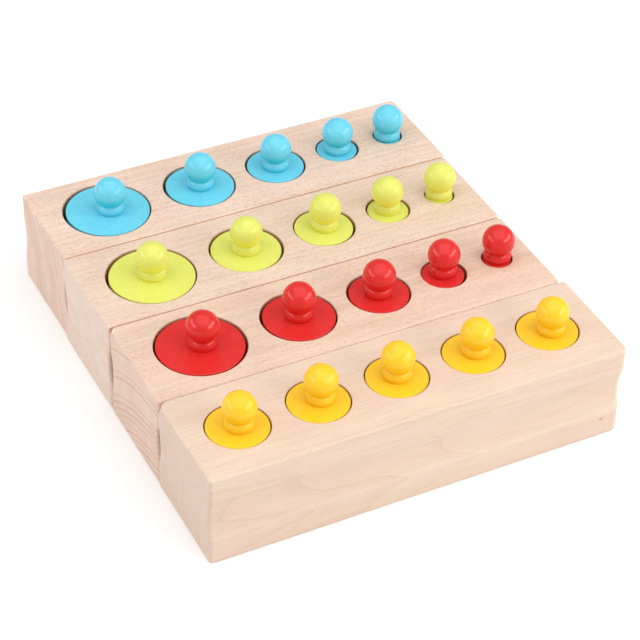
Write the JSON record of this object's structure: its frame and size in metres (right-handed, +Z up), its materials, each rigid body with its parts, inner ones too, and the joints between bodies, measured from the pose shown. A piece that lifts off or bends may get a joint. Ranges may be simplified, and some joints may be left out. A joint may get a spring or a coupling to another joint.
{
  "type": "knobbed cylinder block set",
  "caption": "Wooden toddler blocks with sockets that hold painted knobbed cylinders, which lift out by their turned knobs.",
  "frame": {"origin": "bottom centre of the row of blocks, on the surface they stand on", "axes": "+X along the blocks towards the small cylinders, +Y from the front block to the back one, +Z up"},
  "size_m": [0.2328, 0.251, 0.0738],
  "materials": {
    "beech": "bare sanded beech, closed grain, matt",
    "yellow_paint": "yellow water-based paint on turned wood, satin",
    "red_paint": "red water-based paint on turned wood, satin",
    "lime_paint": "lime water-based paint on turned wood, satin",
    "blue_paint": "blue water-based paint on turned wood, satin"
  },
  "bodies": {
    "yellow_block": {"yellow_block": "beech"},
    "yellow_cylinder_1": {"yellow_cylinder_1": "yellow_paint", "yellow_knob_1": "yellow_paint"},
    "yellow_cylinder_2": {"yellow_cylinder_2": "yellow_paint", "yellow_knob_2": "yellow_paint"},
    "yellow_cylinder_3": {"yellow_cylinder_3": "yellow_paint", "yellow_knob_3": "yellow_paint"},
    "yellow_cylinder_4": {"yellow_cylinder_4": "yellow_paint", "yellow_knob_4": "yellow_paint"},
    "yellow_cylinder_5": {"yellow_cylinder_5": "yellow_paint", "yellow_knob_5": "yellow_paint"},
    "red_block": {"red_block": "beech"},
    "red_cylinder_1": {"red_cylinder_1": "red_paint", "red_knob_1": "red_paint"},
    "red_cylinder_2": {"red_cylinder_2": "red_paint", "red_knob_2": "red_paint"},
    "red_cylinder_3": {"red_cylinder_3": "red_paint", "red_knob_3": "red_paint"},
    "red_cylinder_4": {"red_cylinder_4": "red_paint", "red_knob_4": "red_paint"},
    "red_cylinder_5": {"red_cylinder_5": "red_paint", "red_knob_5": "red_paint"},
    "lime_block": {"lime_block": "beech"},
    "lime_cylinder_1": {"lime_cylinder_1": "lime_paint", "lime_knob_1": "lime_paint"},
    "lime_cylinder_2": {"lime_cylinder_2": "lime_paint", "lime_knob_2": "lime_paint"},
    "lime_cylinder_3": {"lime_cylinder_3": "lime_paint", "lime_knob_3": "lime_paint"},
    "lime_cylinder_4": {"lime_cylinder_4": "lime_paint", "lime_knob_4": "lime_paint"},
    "lime_cylinder_5": {"lime_cylinder_5": "lime_paint", "lime_knob_5": "lime_paint"},
    "blue_block": {"blue_block": "beech"},
    "blue_cylinder_1": {"blue_cylinder_1": "blue_paint", "blue_knob_1": "blue_paint"},
    "blue_cylinder_2": {"blue_cylinder_2": "blue_paint", "blue_knob_2": "blue_paint"},
    "blue_cylinder_3": {"blue_cylinder_3": "blue_paint", "blue_knob_3": "blue_paint"},
    "blue_cylinder_4": {"blue_cylinder_4": "blue_paint", "blue_knob_4": "blue_paint"},
    "blue_cylinder_5": {"blue_cylinder_5": "blue_paint", "blue_knob_5": "blue_paint"}
  },
  "joints": [
    {"name": "yellow_cylinder_1_lift", "type": "slide", "parent": "yellow_block", "child": "yellow_cylinder_1", "axis": [0, 0, 1], "range_m": [0, 0.0494]},
    {"name": "yellow_cylinder_2_lift", "type": "slide", "parent": "yellow_block", "child": "yellow_cylinder_2", "axis": [0, 0, 1], "range_m": [0, 0.0419]},
    {"name": "yellow_cylinder_3_lift", "type": "slide", "parent": "yellow_block", "child": "yellow_cylinder_3", "axis": [0, 0, 1], "range_m": [0, 0.0344]},
    {"name": "yellow_cylinder_4_lift", "type": "slide", "parent": "yellow_block", "child": "yellow_cylinder_4", "axis": [0, 0, 1], "range_m": [0, 0.0269]},
    {"name": "yellow_cylinder_5_lift", "type": "slide", "parent": "yellow_block", "child": "yellow_cylinder_5", "axis": [0, 0, 1], "range_m": [0, 0.0194]},
    {"name": "red_block_slide", "type": "slide", "parent": "yellow_block", "child": "red_block", "axis": [0, 1, 0], "range_m": [0, 0.04]},
    {"name": "red_cylinder_1_lift", "type": "slide", "parent": "red_block", "child": "red_cylinder_1", "axis": [0, 0, 1], "range_m": [0, 0.0494]},
    {"name": "red_cylinder_2_lift", "type": "slide", "parent": "red_block", "child": "red_cylinder_2", "axis": [0, 0, 1], "range_m": [0, 0.0494]},
    {"name": "red_cylinder_3_lift", "type": "slide", "parent": "red_block", "child": "red_cylinder_3", "axis": [0, 0, 1], "range_m": [0, 0.0494]},
    {"name": "red_cylinder_4_lift", "type": "slide", "parent": "red_block", "child": "red_cylinder_4", "axis": [0, 0, 1], "range_m": [0, 0.0494]},
    {"name": "red_cylinder_5_lift", "type": "slide", "parent": "red_block", "child": "red_cylinder_5", "axis": [0, 0, 1], "range_m": [0, 0.0494]},
    {"name": "lime_block_slide", "type": "slide", "parent": "red_block", "child": "lime_block", "axis": [0, 1, 0], "range_m": [0, 0.04]},
    {"name": "lime_cylinder_1_lift", "type": "slide", "parent": "lime_block", "child": "lime_cylinder_1", "axis": [0, 0, 1], "range_m": [0, 0.0194]},
    {"name": "lime_cylinder_2_lift", "type": "slide", "parent": "lime_block", "child": "lime_cylinder_2", "axis": [0, 0, 1], "range_m": [0, 0.0274]},
    {"name": "lime_cylinder_3_lift", "type": "slide", "parent": "lime_block", "child": "lime_cylinder_3", "axis": [0, 0, 1], "range_m": [0, 0.0344]},
    {"name": "lime_cylinder_4_lift", "type": "slide", "parent": "lime_block", "child": "lime_cylinder_4", "axis": [0, 0, 1], "range_m": [0, 0.0424]},
    {"name": "lime_cylinder_5_lift", "type": "slide", "parent": "lime_block", "child": "lime_cylinder_5", "axis": [0, 0, 1], "range_m": [0, 0.0494]},
    {"name": "blue_block_slide", "type": "slide", "parent": "lime_block", "child": "blue_block", "axis": [0, 1, 0], "range_m": [0, 0.04]},
    {"name": "blue_cylinder_1_lift", "type": "slide", "parent": "blue_block", "child": "blue_cylinder_1", "axis": [0, 0, 1], "range_m": [0, 0.0494]},
    {"name": "blue_cylinder_2_lift", "type": "slide", "parent": "blue_block", "child": "blue_cylinder_2", "axis": [0, 0, 1], "range_m": [0, 0.0419]},
    {"name": "blue_cylinder_3_lift", "type": "slide", "parent": "blue_block", "child": "blue_cylinder_3", "axis": [0, 0, 1], "range_m": [0, 0.0344]},
    {"name": "blue_cylinder_4_lift", "type": "slide", "parent": "blue_block", "child": "blue_cylinder_4", "axis": [0, 0, 1], "range_m": [0, 0.0269]},
    {"name": "blue_cylinder_5_lift", "type": "slide", "parent": "blue_block", "child": "blue_cylinder_5", "axis": [0, 0, 1], "range_m": [0, 0.0194]}
  ]
}
